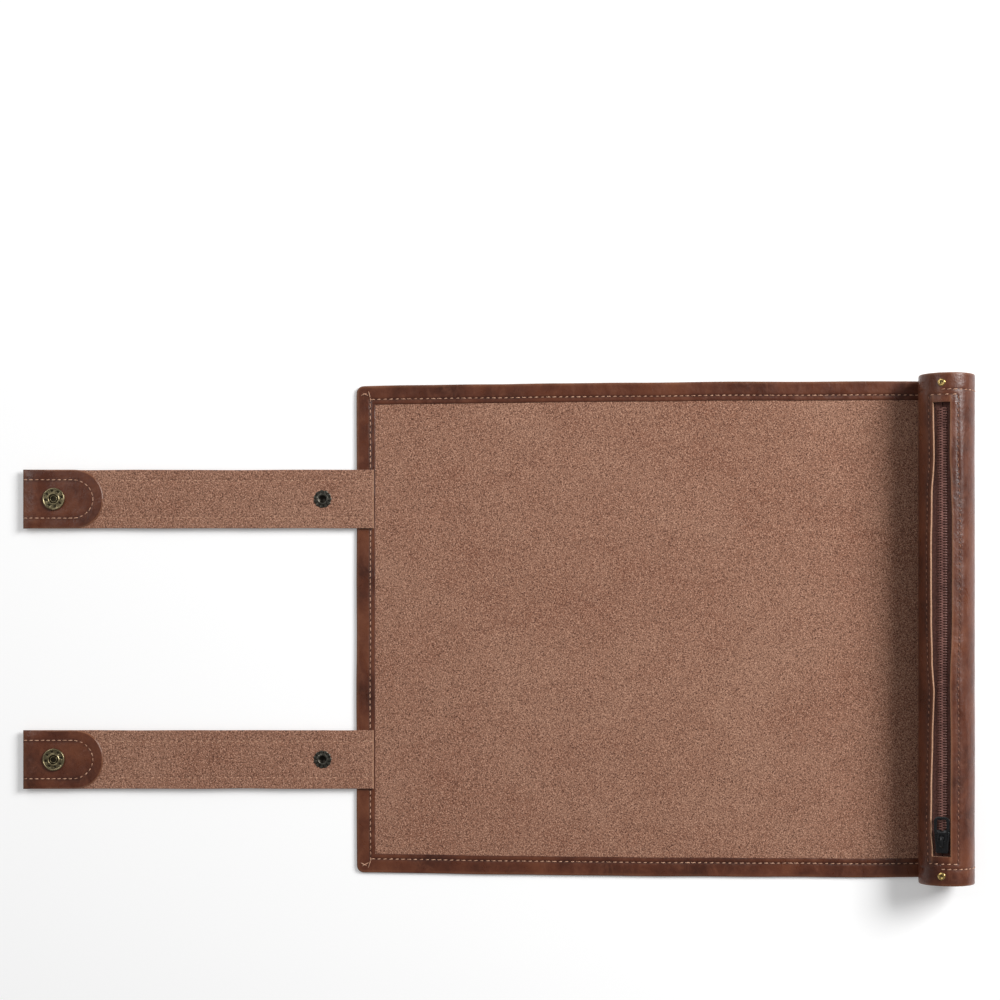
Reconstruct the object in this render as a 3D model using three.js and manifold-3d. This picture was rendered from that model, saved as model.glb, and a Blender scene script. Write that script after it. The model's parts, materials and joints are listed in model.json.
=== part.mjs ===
import * as THREE from "three";
import { mergeVertices } from "three/addons/utils/BufferGeometryUtils.js";
import Module from "manifold-3d";

// A folding dice bag: a lined leather mat that rolls up around a zipped pocket tube,
// held shut by two straps with snap fasteners. Millimetres, +Z up, laid open on a table.

// Mat
const matWidth = 275;
const matThickness = 1.8;
const coverThickness = 1.0;
const liningThickness = 0.6;
const hemWidth = 10.5;
const cornerRadius = 4;
const skiveLength = 2.6;
const skiveDepth = 0.4;
const fullPanels = 20;
const edgePanelLength = 8;

// Rolling: the mat folds into faces that lie parallel, one layer over the other.
const facesPerTurn = 8;
const layerGap = 0.22;
const foldGap = 0.3;
const seatGap = 0.05;

// Pocket tube
const tubeRadius = 15.2;
const tubeWall = 1.3;
const tubeOverhang = 1.5;
const discThickness = 8;
const discRecess = 1;
const tackFromEnd = 5.5;
const tackHeadRadius = 2.1;
const tackHeadRise = 0.7;
const tackShankRadius = 0.7;
const tackLength = 6;
const clearance = 0.3;

// Zip
const zipTilt = 22;
const slotMargin = 16;
const slotPlay = 0.8;
const slotCorner = 2.5;
const tapeThickness = 0.6;
const tapeTuck = 1.6;
const tapeEndGap = 3;
const coilHalfWidth = 2.4;
const coilHeight = 1.6;
const coilEndGap = 2;
const sliderLength = 13;
const sliderWidth = 8.4;
const sliderPlate = 0.55;
const sliderEndGap = 1.7;
const archLength = 6.4;
const archWidth = 1.8;
const archWindow = 0.9;
const archBar = 0.55;
const archPost = 1.3;
const pullLength = 13.5;
const pullWidth = 8.4;
const pullThickness = 0.55;
const pullRim = 1.7;
const pullNeck = 1.6;

// Straps
const strapWidth = 32.4;
const strapSpacing = 144;
const tipLength = 17.1;
const tipWall = 1;
const strapLeather = 0.85;
const strapLining = 0.5;
const strapLift = 0.2;
const tabThickness = 0.55;
const snapStack = 2.7;
const snapOffset = 2.5;

// Snap fasteners
const capRadius = 6.25;
const ringRadius = 6.2;
const ringHole = 2.5;
const ringHeight = 1.55;
const ringChamfer = 1.0;
const ringLip = 0.4;
const studRadius = 2.0;
const studFlange = 4.8;
const flangeThickness = 0.45;
const eyeletRadius = 4.6;
const postRadius = 1.5;

const wasm = await Module();
wasm.setup();

const part = new THREE.Group();
const tubeLength = matWidth + 2 * tubeOverhang;
const slotLength = tubeLength - 2 * slotMargin;
const slotWidth = sliderWidth + 2 * slotPlay;
const tapeHalfWidth = slotWidth / 2 + tapeTuck;
const tapeLength = tubeLength - 2 * (discRecess + discThickness + tapeEndGap);
const coilLength = slotLength - 2 * coilEndGap;
const strapThickness = strapLeather + seatGap + strapLining;
const strapLow = matThickness + strapLift;
const strapTop = strapLow + strapThickness;
const layout = layRoll();
const tubeX = (layout.strapEnd - tubeRadius) / 2;

// Distance from the foot of a face to its fold with the next face, from their distances to the roll's centre.
function reach(face, next) {
  const turn = (2 * Math.PI) / facesPerTurn;
  return (next - face * Math.cos(turn)) / Math.sin(turn);
}

// Distance of a mat face from the roll's centre once rolled. Face -1 starts on the tube.
function matFace(k) {
  const pitch = matThickness + layerGap;
  return tubeRadius + layerGap + (pitch * (k + 1)) / facesPerTurn;
}

// The same for the edge panel, which stands off by the strap that is sewn inside it.
function edgeFace() {
  return strapFace(0) + strapLift + strapThickness;
}

// The same for the strap: its first turn lies on the mat, then it passes over the edge and snaps on itself.
function strapFace(j) {
  if (j < facesPerTurn) {
    return matFace(fullPanels - facesPerTurn + j) + matThickness + layerGap;
  }
  if (j === facesPerTurn) {
    return edgeFace() + matThickness + layerGap + tabThickness;
  }
  return strapFace(1) + strapThickness + layerGap + snapStack;
}

// Every fold's distance from the tube's centre line, measured along the flat mat.
function layRoll() {
  const rise = tubeRadius - matThickness;
  const tubeFold = Math.sqrt((tubeRadius + layerGap) ** 2 - rise ** 2);
  const faces = [matFace(-1)];
  for (let k = 0; k < fullPanels; k += 1) {
    faces.push(matFace(k));
  }
  faces.push(edgeFace());
  const matFolds = [tubeFold, tubeFold + reach(faces[0], faces[1])];
  for (let i = 1; i <= fullPanels; i += 1) {
    const length = reach(faces[i], faces[i - 1]) + reach(faces[i], faces[i + 1]);
    matFolds.push(matFolds[i] + length);
  }
  const lastFold = matFolds[fullPanels + 1];
  const matEdge = lastFold + edgePanelLength;
  const edgeFoot = lastFold + reach(edgeFace(), matFace(fullPanels - 1));
  const strapFolds = [edgeFoot + reach(strapFace(0), strapFace(1))];
  for (let j = 1; j <= facesPerTurn; j += 1) {
    const back = reach(strapFace(j), strapFace(j - 1));
    const ahead = reach(strapFace(j), strapFace(j + 1));
    strapFolds.push(strapFolds[j - 1] + back + ahead);
  }
  const studAt = strapFolds[0] + reach(strapFace(1), strapFace(0)) + snapOffset;
  const lastFace = facesPerTurn + 1;
  const capAt = strapFolds[facesPerTurn] + reach(strapFace(lastFace), strapFace(facesPerTurn)) + snapOffset;
  const strapEnd = capAt + tipLength;
  return { matFolds, matEdge, strapFolds, studAt, capAt, strapEnd };
}

function leather() {
  return new THREE.MeshStandardMaterial({ color: 0x643727, roughness: 0.55, metalness: 0 });
}

function suede() {
  return new THREE.MeshStandardMaterial({ color: 0x9b6e5a, roughness: 0.95, metalness: 0 });
}

function zipTape() {
  return new THREE.MeshStandardMaterial({ color: 0x5a352f, roughness: 0.8, metalness: 0 });
}

function blackMetal() {
  return new THREE.MeshStandardMaterial({ color: 0x1b1a1a, roughness: 0.35, metalness: 0.8 });
}

function antiqueBrass() {
  return new THREE.MeshStandardMaterial({ color: 0x786a3f, roughness: 0.4, metalness: 0.9 });
}

function darkMetal() {
  return new THREE.MeshStandardMaterial({ color: 0x3a3430, roughness: 0.45, metalness: 0.9 });
}

function brightBrass() {
  return new THREE.MeshStandardMaterial({ color: 0xc59a4a, roughness: 0.3, metalness: 0.95 });
}

function addMesh(group, name, geometry, material) {
  const mesh = new THREE.Mesh(geometry, material);
  mesh.name = name;
  group.add(mesh);
  return mesh;
}

// A closed geometry as a solid that can be joined or cut.
function solidOf(geometry) {
  const loose = geometry.index ? geometry.toNonIndexed() : geometry;
  const bare = new THREE.BufferGeometry();
  bare.setAttribute("position", loose.getAttribute("position"));
  const merged = mergeVertices(bare, 1e-4);
  const vertProperties = merged.getAttribute("position").array;
  const triVerts = new Uint32Array(merged.index.array);
  return new wasm.Manifold(new wasm.Mesh({ numProp: 3, vertProperties, triVerts }));
}

function geometryOf(solid) {
  const mesh = solid.getMesh();
  const geometry = new THREE.BufferGeometry();
  geometry.setAttribute("position", new THREE.BufferAttribute(mesh.vertProperties, 3));
  geometry.setIndex(new THREE.BufferAttribute(mesh.triVerts, 1));
  geometry.computeVertexNormals();
  return geometry;
}

function joined(...geometries) {
  const solids = geometries.map(solidOf);
  return geometryOf(solids.reduce((whole, piece) => whole.add(piece)));
}

function cut(geometry, ...tools) {
  const solids = tools.map(solidOf);
  return geometryOf(solids.reduce((whole, tool) => whole.subtract(tool), solidOf(geometry)));
}

function polygon(points) {
  return new THREE.Shape(points.map(([x, y]) => new THREE.Vector2(x, y)));
}

// A flat plate from an outline seen from above.
function plate(shape, low, high, curveSegments = 10) {
  const geometry = new THREE.ExtrudeGeometry(shape, { depth: high - low, bevelEnabled: false, curveSegments });
  return geometry.translate(0, 0, low);
}

// A bar along Y, centred, from a profile in X and Z.
function alongY(shape, length, curveSegments = 10) {
  const geometry = new THREE.ExtrudeGeometry(shape, { depth: length, bevelEnabled: false, curveSegments });
  return geometry.rotateX(Math.PI / 2).translate(0, length / 2, 0);
}

// A bar along X, centred, from a profile in Y and Z.
function alongX(shape, length) {
  const geometry = new THREE.ExtrudeGeometry(shape, { depth: length, bevelEnabled: false });
  return geometry.rotateX(Math.PI / 2).rotateZ(Math.PI / 2).translate(-length / 2, 0, 0);
}

function box(fromX, toX, width, low, high) {
  const geometry = new THREE.BoxGeometry(toX - fromX, width, high - low);
  return geometry.translate((fromX + toX) / 2, 0, (low + high) / 2);
}

// An upright turned piece from its radii and heights.
function turned(profile, segments = 32) {
  const points = profile.map(([radius, height]) => new THREE.Vector2(radius, height));
  return new THREE.LatheGeometry(points, segments).rotateX(Math.PI / 2);
}

function peg(radius, low, high, segments = 20) {
  const geometry = new THREE.CylinderGeometry(radius, radius, high - low, segments);
  return geometry.rotateX(Math.PI / 2).translate(0, 0, (low + high) / 2);
}

// A rectangle from x = 0 to the length, with round corners on the chosen side.
function roundedPlate(length, width, radius, roundAtStart) {
  const half = width / 2;
  const shape = new THREE.Shape();
  const side = roundAtStart ? 1 : -1;
  const start = roundAtStart ? 0 : length;
  const end = roundAtStart ? length : 0;
  shape.moveTo(end, -half);
  shape.lineTo(end, half);
  shape.lineTo(start + side * radius, half);
  shape.quadraticCurveTo(start, half, start, half - radius);
  shape.lineTo(start, -half + radius);
  shape.quadraticCurveTo(start, -half, start + side * radius, -half);
  return shape;
}

// A length of mat seen along Y, pared thinner underneath towards each fold.
function panelProfile(length) {
  const end = length / 2;
  const flat = end - skiveLength;
  return polygon([
    [-flat, 0],
    [flat, 0],
    [end, skiveDepth],
    [end, matThickness],
    [-end, matThickness],
    [-end, skiveDepth],
  ]);
}

function panelName(i) {
  return `panel_${String(i).padStart(2, "0")}`;
}

// The lining lies in a recess between the hems. The last full panel also holds the inner strip of the edge hem.
function addPanel(i) {
  const near = layout.matFolds[i - 1];
  const far = layout.matFolds[i];
  const length = far - near - foldGap;
  const last = i === fullPanels + 1;
  const strip = last ? hemWidth - edgePanelLength - foldGap / 2 : -clearance;
  const inside = matWidth - 2 * hemWidth;
  const above = matThickness + clearance;
  const recess = box(strip - length / 2, length / 2 + clearance, inside, coverThickness, above);
  const geometry = cut(alongY(panelProfile(length), matWidth), recess);
  const mesh = addMesh(part, panelName(i), geometry, leather());
  mesh.position.x = tubeX - (near + far) / 2;
}

function addEdgePanel() {
  const length = edgePanelLength - foldGap / 2;
  const shape = roundedPlate(length, matWidth, cornerRadius, true);
  const geometry = plate(shape, 0, matThickness);
  const mesh = addMesh(part, panelName(fullPanels + 2), geometry, leather());
  mesh.position.x = tubeX - layout.matEdge;
}

function addLining() {
  const near = layout.matFolds[0] + foldGap;
  const far = layout.matEdge - hemWidth - clearance;
  const width = matWidth - 2 * hemWidth - 2 * clearance;
  const low = coverThickness + seatGap;
  const geometry = box(-far, -near, width, low, low + liningThickness);
  const mesh = addMesh(part, "mat_lining", geometry, suede());
  mesh.position.x = tubeX;
}

// The pocket stands with its centre line at the origin of a group that is tipped with the zip.
function addPocket() {
  const pocket = new THREE.Group();
  pocket.position.set(tubeX, 0, tubeRadius);
  pocket.rotation.y = -THREE.MathUtils.degToRad(zipTilt);
  part.add(pocket);
  addTube(pocket);
  for (const [end, side] of [["front", -1], ["rear", 1]]) {
    addEndDisc(pocket, end, side);
    addTack(pocket, end, side);
  }
  addZipHalf(pocket, "mat_side", -1);
  addZipHalf(pocket, "outer_side", 1);
  const slider = new THREE.Group();
  slider.position.y = -slotLength / 2 + sliderEndGap + sliderLength / 2;
  pocket.add(slider);
  addSlider(slider);
  addPull(slider);
}

function addTube(pocket) {
  const ring = new THREE.Shape();
  ring.absarc(0, 0, tubeRadius, 0, 2 * Math.PI);
  const bore = new THREE.Path();
  bore.absarc(0, 0, tubeRadius - tubeWall, 0, 2 * Math.PI, true);
  ring.holes.push(bore);
  const shell = alongY(ring, tubeLength, 36);
  const slot = new THREE.Shape();
  const side = slotWidth / 2 - slotCorner;
  const straight = slotLength / 2 - slotCorner;
  slot.absarc(side, straight, slotCorner, 0, Math.PI / 2);
  slot.absarc(-side, straight, slotCorner, Math.PI / 2, Math.PI);
  slot.absarc(-side, -straight, slotCorner, Math.PI, 1.5 * Math.PI);
  slot.absarc(side, -straight, slotCorner, 1.5 * Math.PI, 2 * Math.PI);
  const tools = [plate(slot, 0, tubeRadius + 2, 6)];
  for (const end of [-1, 1]) {
    const hole = peg(tackShankRadius + clearance, 0, tubeRadius + 2);
    tools.push(hole.translate(0, end * (tubeLength / 2 - tackFromEnd), 0));
  }
  addMesh(pocket, "pocket_tube", cut(shell, ...tools), leather());
}

function addEndDisc(pocket, end, side) {
  const radius = tubeRadius - tubeWall - clearance;
  const disc = new THREE.CylinderGeometry(radius, radius, discThickness, 48);
  const middle = side * (tubeLength / 2 - discRecess - discThickness / 2);
  const hole = peg(tackShankRadius + clearance, tubeRadius - tackLength - 1, tubeRadius);
  hole.translate(0, side * (tubeLength / 2 - tackFromEnd), 0);
  const geometry = cut(disc.translate(0, middle, 0), hole);
  addMesh(pocket, `${end}_end_disc`, geometry, leather());
}

function addTack(pocket, end, side) {
  const rise = tackHeadRise;
  const geometry = turned([
    [0, -tackLength],
    [tackShankRadius, -tackLength + 1],
    [tackShankRadius, seatGap],
    [tackHeadRadius, seatGap],
    [tackHeadRadius * 0.92, seatGap + rise * 0.5],
    [tackHeadRadius * 0.6, seatGap + rise * 0.9],
    [0, seatGap + rise],
  ], 20);
  const mesh = addMesh(pocket, `${end}_tack`, geometry, brightBrass());
  mesh.position.set(0, side * (tubeLength / 2 - tackFromEnd), tubeRadius);
}

// Height of the tape's face above the tube's centre line: it spans the slot just inside the wall.
function tapeTop() {
  const bore = tubeRadius - tubeWall;
  return Math.sqrt(bore ** 2 - tapeHalfWidth ** 2) - clearance;
}

// One zip half: a tape under the slot's edge, with the coil standing on its inner edge.
function addZipHalf(pocket, name, side) {
  const middle = (side * clearance) / 2;
  const top = tapeTop();
  const tape = sideBox(middle, side * tapeHalfWidth, tapeLength, top - tapeThickness, top);
  const coil = sideBox(middle, side * coilHalfWidth, coilLength, top - tapeThickness / 2, top + coilHeight);
  addMesh(pocket, `zip_half_${name}`, joined(tape, coil), zipTape());
}

function sideBox(from, to, width, low, high) {
  return box(Math.min(from, to), Math.max(from, to), width, low, high);
}

function sliderTop() {
  return tapeTop() + coilHeight + clearance + sliderPlate;
}

// The slider straddles the coil and carries an arch for the pull.
function addSlider(slider) {
  const half = sliderWidth / 2;
  const inside = coilHalfWidth + clearance;
  const skirt = tapeTop() + clearance;
  const roof = tapeTop() + coilHeight + clearance;
  const top = sliderTop();
  const channel = polygon([
    [-half, skirt],
    [-inside, skirt],
    [-inside, roof],
    [inside, roof],
    [inside, skirt],
    [half, skirt],
    [half, top],
    [-half, top],
  ]);
  const foot = archLength / 2;
  const opening = foot - archPost;
  const sill = top - sliderPlate / 2;
  const arch = polygon([
    [-foot, sill],
    [-opening, sill],
    [-opening, top + archWindow],
    [opening, top + archWindow],
    [opening, sill],
    [foot, sill],
    [foot, top + archWindow + archBar],
    [-foot, top + archWindow + archBar],
  ]);
  const geometry = joined(alongY(channel, sliderLength), alongX(arch, archWidth));
  addMesh(slider, "zip_slider", geometry, blackMetal());
}

// The pull is a flat loop whose cross-bar lies under the arch, turned towards the rear along the zip.
function addPull(slider) {
  const half = pullWidth / 2;
  const bar = pullThickness / 2;
  const bend = pullRim;
  const outline = new THREE.Shape();
  outline.moveTo(-half, -bar);
  outline.lineTo(half, -bar);
  outline.lineTo(half, pullLength - bend);
  outline.quadraticCurveTo(half, pullLength, half - bend, pullLength);
  outline.lineTo(-half + bend, pullLength);
  outline.quadraticCurveTo(-half, pullLength, -half, pullLength - bend);
  const eye = archLength / 2 + 2 * clearance;
  const eyeWidth = archWidth + 4 * clearance;
  const nearWindow = box(-eyeWidth / 2, eyeWidth / 2, eye - bar, -bar - 1, bar + 1);
  nearWindow.translate(0, (eye + bar) / 2, 0);
  const holeFrom = eye + pullNeck;
  const holeTo = pullLength - pullRim;
  const holeWidth = pullWidth - 2 * pullRim;
  const farWindow = box(-holeWidth / 2, holeWidth / 2, holeTo - holeFrom, -bar - 1, bar + 1);
  farWindow.translate(0, (holeFrom + holeTo) / 2, 0);
  const geometry = cut(plate(outline, -bar, bar, 5), nearWindow, farWindow);
  const mesh = addMesh(slider, "zip_pull", geometry, blackMetal());
  mesh.position.z = sliderTop() + archWindow / 2;
}

function addStrap(side, sign) {
  const strap = new THREE.Group();
  strap.position.set(tubeX, (sign * strapSpacing) / 2, 0);
  part.add(strap);
  addStrapBase(strap, side);
  for (let j = 1; j <= facesPerTurn + 1; j += 1) {
    addStrapSegment(strap, side, j);
  }
  addStrapLining(strap, side);
  addStud(strap, side);
  addCap(strap, side);
  addSocket(strap, side);
}

function addStrapBase(strap, side) {
  const near = layout.matEdge - edgePanelLength + foldGap;
  const far = layout.strapFolds[0] - foldGap / 2;
  const geometry = box(-far, -near, strapWidth, strapLow, strapLow + strapLeather);
  addMesh(strap, `${side}_strap_base`, geometry, leather());
}

function addStrapSegment(strap, side, j) {
  const near = layout.strapFolds[j - 1] + foldGap / 2;
  const last = j === facesPerTurn + 1;
  const far = last ? layout.strapEnd : layout.strapFolds[j] - foldGap / 2;
  let geometry = box(-far, -near, strapWidth, strapLow, strapLow + strapLeather);
  if (j === 1) {
    const hole = peg(postRadius + clearance, 0, strapTop).translate(-layout.studAt, 0, 0);
    geometry = cut(geometry, hole);
  }
  if (last) {
    geometry = strapTip(geometry, near, far);
  }
  addMesh(strap, `${side}_strap_${j}`, geometry, leather());
}

// The strap's end is folded back over the lining as a tab with a round end.
function strapTip(geometry, near, far) {
  const tab = roundedPlate(far - near - 2 * foldGap, strapWidth, strapWidth * 0.3, false);
  const low = strapTop + seatGap;
  const flap = plate(tab, low, low + tabThickness).translate(-far, 0, 0);
  const wall = box(-far, -far + tipWall, strapWidth, strapLow, low + tabThickness);
  const hole = peg(postRadius + clearance, 0, low + 2).translate(-layout.capAt, 0, 0);
  return cut(joined(geometry, wall, flap), hole);
}

function addStrapLining(strap, side) {
  const near = layout.matEdge - edgePanelLength + foldGap;
  const far = layout.strapEnd - tipWall - clearance;
  const sheet = box(-far, -near, strapWidth - 1, strapTop - strapLining, strapTop);
  const eyelet = peg(eyeletRadius + clearance, 0, strapTop + 2, 32).translate(-layout.studAt, 0, 0);
  const post = peg(postRadius + clearance, 0, strapTop + 2).translate(-layout.capAt, 0, 0);
  addMesh(strap, `${side}_strap_lining`, cut(sheet, eyelet, post), suede());
}

// The stud faces the table at rest. Its post passes through the strap to an eyelet set in the lining.
function addStud(strap, side) {
  const seat = strapLow - seatGap;
  const back = strapLow + strapLeather + seatGap;
  const geometry = turned([
    [0, 0],
    [studRadius * 0.8, 0],
    [studRadius, seat * 0.2],
    [studRadius * 0.85, seat * 0.6],
    [studRadius, seat - flangeThickness],
    [studFlange, seat - flangeThickness],
    [studFlange, seat],
    [postRadius, seat],
    [postRadius, back],
    [eyeletRadius, back],
    [eyeletRadius, strapTop + 2 * seatGap],
    [0, strapTop + 2 * seatGap],
  ]);
  const mesh = addMesh(strap, `${side}_snap_stud`, geometry, darkMetal());
  mesh.position.x = -layout.studAt;
}

// The domed cap faces the table at rest. Its post passes up through the strap into the socket.
function addCap(strap, side) {
  const seat = strapLow - seatGap;
  const geometry = turned([
    [0, 0],
    [capRadius * 0.35, seat * 0.04],
    [capRadius * 0.7, seat * 0.23],
    [capRadius * 0.93, seat * 0.54],
    [capRadius, seat * 0.77],
    [capRadius, seat],
    [postRadius, seat],
    [postRadius, strapTop + tabThickness],
    [0, strapTop + tabThickness],
  ], 40);
  const mesh = addMesh(strap, `${side}_snap_cap`, geometry, antiqueBrass());
  mesh.position.x = -layout.capAt;
}

function addSocket(strap, side) {
  const low = strapTop + 2 * seatGap + tabThickness;
  const high = low + ringHeight;
  const geometry = turned([
    [ringHole, low],
    [ringRadius, low],
    [ringRadius, low + ringHeight / 2],
    [ringRadius - ringChamfer, high],
    [ringHole + ringLip, high],
    [ringHole, high - ringLip],
    [ringHole, low],
  ], 40);
  const mesh = addMesh(strap, `${side}_snap_socket`, geometry, antiqueBrass());
  mesh.position.x = -layout.capAt;
}

for (let i = 1; i <= fullPanels + 1; i += 1) {
  addPanel(i);
}
addEdgePanel();
addLining();
addPocket();
addStrap("front", -1);
addStrap("rear", 1);

export default part;
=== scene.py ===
import json
import math
import random
import bpy
import numpy as np
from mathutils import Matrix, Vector, noise


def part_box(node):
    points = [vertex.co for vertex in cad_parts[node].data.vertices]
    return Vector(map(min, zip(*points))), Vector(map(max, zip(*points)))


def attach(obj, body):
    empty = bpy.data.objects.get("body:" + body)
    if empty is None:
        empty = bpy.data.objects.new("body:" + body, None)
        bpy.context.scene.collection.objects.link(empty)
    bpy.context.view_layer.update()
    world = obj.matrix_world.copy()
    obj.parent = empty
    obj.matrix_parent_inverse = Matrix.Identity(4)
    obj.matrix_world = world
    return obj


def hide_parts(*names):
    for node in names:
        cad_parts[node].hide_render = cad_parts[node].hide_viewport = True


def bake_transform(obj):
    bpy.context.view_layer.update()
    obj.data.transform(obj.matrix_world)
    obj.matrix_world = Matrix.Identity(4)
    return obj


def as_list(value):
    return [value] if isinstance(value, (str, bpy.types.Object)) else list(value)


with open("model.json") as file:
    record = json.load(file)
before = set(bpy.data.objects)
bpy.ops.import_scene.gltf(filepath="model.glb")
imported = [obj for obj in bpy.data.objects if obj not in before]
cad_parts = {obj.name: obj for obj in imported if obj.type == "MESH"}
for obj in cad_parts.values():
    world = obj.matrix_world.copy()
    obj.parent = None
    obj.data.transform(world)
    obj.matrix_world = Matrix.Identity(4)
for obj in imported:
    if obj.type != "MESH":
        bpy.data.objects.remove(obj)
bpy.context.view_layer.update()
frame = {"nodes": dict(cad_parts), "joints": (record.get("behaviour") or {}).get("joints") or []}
chance = random.Random(11)
mm = 0.001
joints = {joint["name"]: joint for joint in frame["joints"]}
print("frame loaded:", len(frame["nodes"]), "solids")


def boxMm(node):
    low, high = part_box(node)
    return low / mm, high / mm


def middleMm(node):
    low, high = boxMm(node)
    return (low + high) / 2


def jointX(name):
    return joints[name]["pos_m"][0] / mm


def wander(x, y, size, seed):       # smooth unevenness from -1 to 1
    return noise.noise((x / size + seed, y / size - seed, seed * 0.37))


def hump(distance, width):      # 1 at no distance, falling off on both sides
    return math.exp(-((distance / width) ** 2))


def clip(value):
    return max(0.0, min(1.0, value))


def softEdge(d, radius):        # how far a rounded edge drops at a distance from it
    if d >= radius:
        return 0.0
    return radius - math.sqrt(max(0.0, radius ** 2 - (radius - d) ** 2))


# materials

def setInputs(node, inputs):        # an output is linked, any other value is set
    for key, value in inputs.items():
        if isinstance(value, bpy.types.NodeSocket):
            node.id_data.links.new(value, node.inputs[key])
        else:
            node.inputs[key].default_value = value


def addNode(tree, kind, output, inputs, **settings):
    node = tree.nodes.new("ShaderNode" + kind)
    for key, value in settings.items():
        setattr(node, key, value)
    setInputs(node, inputs)
    return node.outputs[output]


# paint gives the inputs of the material's shader; a socket's id_data is its node tree
def makeMaterial(name, look, paint):
    material = bpy.data.materials.new(name)
    material.use_nodes = True
    tree = material.node_tree
    setInputs(tree.nodes["Principled BSDF"], paint(addNode(tree, "TexCoord", "Object", {}), look))
    return material


def noiseNode(coord, scale, detail, rough, stretch=(1, 1, 1), distortion=0.0, turn=(0, 0, 0)):
    tree = coord.id_data
    if stretch != (1, 1, 1) or turn != (0, 0, 0):
        coord = addNode(tree, "Mapping", "Vector", {"Vector": coord, "Scale": stretch, "Rotation": turn})
    return addNode(tree, "TexNoise", "Fac", {"Vector": coord, "Scale": scale, "Detail": detail,
                                             "Roughness": rough, "Distortion": distortion})


def waveNode(coord, scale, direction, distortion=0.0):
    inputs = {"Vector": coord, "Scale": scale, "Distortion": distortion}
    return addNode(coord.id_data, "TexWave", "Fac", inputs, bands_direction=direction)


def rampNode(source, *stops):
    node = source.id_data.nodes.new("ShaderNodeValToRGB")
    elements = node.color_ramp.elements
    for place, colour in stops[1:-1]:
        elements.new(place)
    for element, (place, colour) in zip(elements, stops):
        element.position, element.color = place, (*colour, 1)
    setInputs(node, {"Fac": source})
    return node.outputs["Color"]


def rangeNode(source, low, high, fromLow=0.3, fromHigh=0.7):
    return addNode(source.id_data, "MapRange", "Result", {"Value": source, "From Min": fromLow,
                                                          "From Max": fromHigh, "To Min": low, "To Max": high})


def mixColour(factor, first, second):       # sockets by number: factor, two colours, result
    return addNode(first.id_data, "Mix", 2, {0: factor, 6: first, 7: (*second, 1)}, data_type="RGBA")


def bumpNode(height, strength, distance, before=None):
    inputs = {"Height": height, "Strength": strength, "Distance": distance}
    if before:
        inputs["Normal"] = before
    return addNode(height.id_data, "Bump", "Normal", inputs)


# a vertex value of the mesh as a share to mix by: "wear", or the dirt-and-shade value, which darkens grooves, stitch
# rows and recesses as painted shade
def meshShare(coord, name, most):
    return rangeNode(addNode(coord.id_data, "Attribute", "Fac", {}, attribute_name=name), 0.0, most, 0.0, 1.0)


leatherLook = {
    "deep": (0.042, 0.0118, 0.0066), "middle": (0.101, 0.029, 0.0142), "light": (0.175, 0.057, 0.026),
    # the dark dirt-and-shade colour is painted shade for stitch grooves and steps
    "worn": (0.34, 0.15, 0.075), "dirt": (0.022, 0.008, 0.006),
    "grainSize": 0.9, "roughLow": 0.22, "roughHigh": 0.44, "specular": 0.36,
}


def paintLeather(coord, look):
    patches = noiseNode(coord, 34, 6, 0.65)
    veins = noiseNode(coord, 150, 6, 0.7, (1.0, 0.6, 1.0), 0.8)
    colour = rampNode(patches, (0.3, look["deep"]), (0.5, look["middle"]), (0.74, look["light"]))
    colour = mixColour(rangeNode(veins, 0.0, 0.6, 0.5, 0.72), colour, look["light"])
    colour = mixColour(meshShare(coord, "wear", 0.8), colour, look["worn"])
    # painted shade: the dark colour goes into stitch grooves and along the hem's inner step
    colour = mixColour(meshShare(coord, "dirt", 0.85), colour, look["dirt"])
    grain = addNode(coord.id_data, "TexVoronoi", "Distance", {"Vector": coord, "Scale": 1000 / look["grainSize"]})
    creases = noiseNode(coord, 320, 4, 0.65, (1.0, 0.45, 1.0), 1.2)
    swell = noiseNode(coord, 95, 3, 0.55)
    normal = None
    for height, strength, distance in ((grain, 0.2, 0.0002), (creases, 0.3, 0.00035), (swell, 0.35, 0.0015)):
        normal = bumpNode(height, strength, distance, normal)
    return {"Base Color": colour, "Roughness": rangeNode(veins, look["roughLow"], look["roughHigh"]),
            "Normal": normal, "Specular IOR Level": look["specular"]}


suedeLook = {
    "dark": (0.066, 0.023, 0.015), "light": (0.64, 0.362, 0.25),
    "patchDark": (0.258, 0.113, 0.069), "patchLight": (0.342, 0.178, 0.116), "grainSize": 0.76,
    "roughness": 0.95, "specular": 0.2, "sheen": 0.12,
}


def paintSuede(coord, look):
    patches = noiseNode(coord, 13, 6, 0.78, (0.75, 1.0, 1.0))
    grain = noiseNode(coord, 1000 / look["grainSize"], 4, 0.7, turn=(0.5, 0.35, 0.6))
    fine = noiseNode(coord, 1150 / look["grainSize"], 3, 0.65, turn=(0.7, -0.4, 1.1))
    colour = rampNode(patches, (0.36, look["patchDark"]), (0.64, look["patchLight"]))
    colour = mixColour(rangeNode(grain, 0.97, 0.0, 0.39, 0.535), colour, look["dark"])
    colour = mixColour(rangeNode(fine, 0.0, 0.8, 0.5, 0.64), colour, look["light"])
    normal = bumpNode(fine, 0.35, 0.0002, bumpNode(grain, 0.5, 0.0004))
    return {"Base Color": colour, "Normal": normal, "Roughness": look["roughness"],
            "Specular IOR Level": look["specular"], "Sheen Weight": look["sheen"], "Sheen Roughness": 0.5}


def shadeToLight(tone, look, low=0.3, high=0.7):
    return rampNode(tone, (low, look["shade"]), (high, look["light"]))


threadLook = {"shade": (0.30, 0.133, 0.075), "light": (0.64, 0.37, 0.245), "twist": 1900}
darkThreadLook = {"shade": (0.13, 0.042, 0.024), "light": (0.33, 0.145, 0.085), "twist": 1900}


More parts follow.
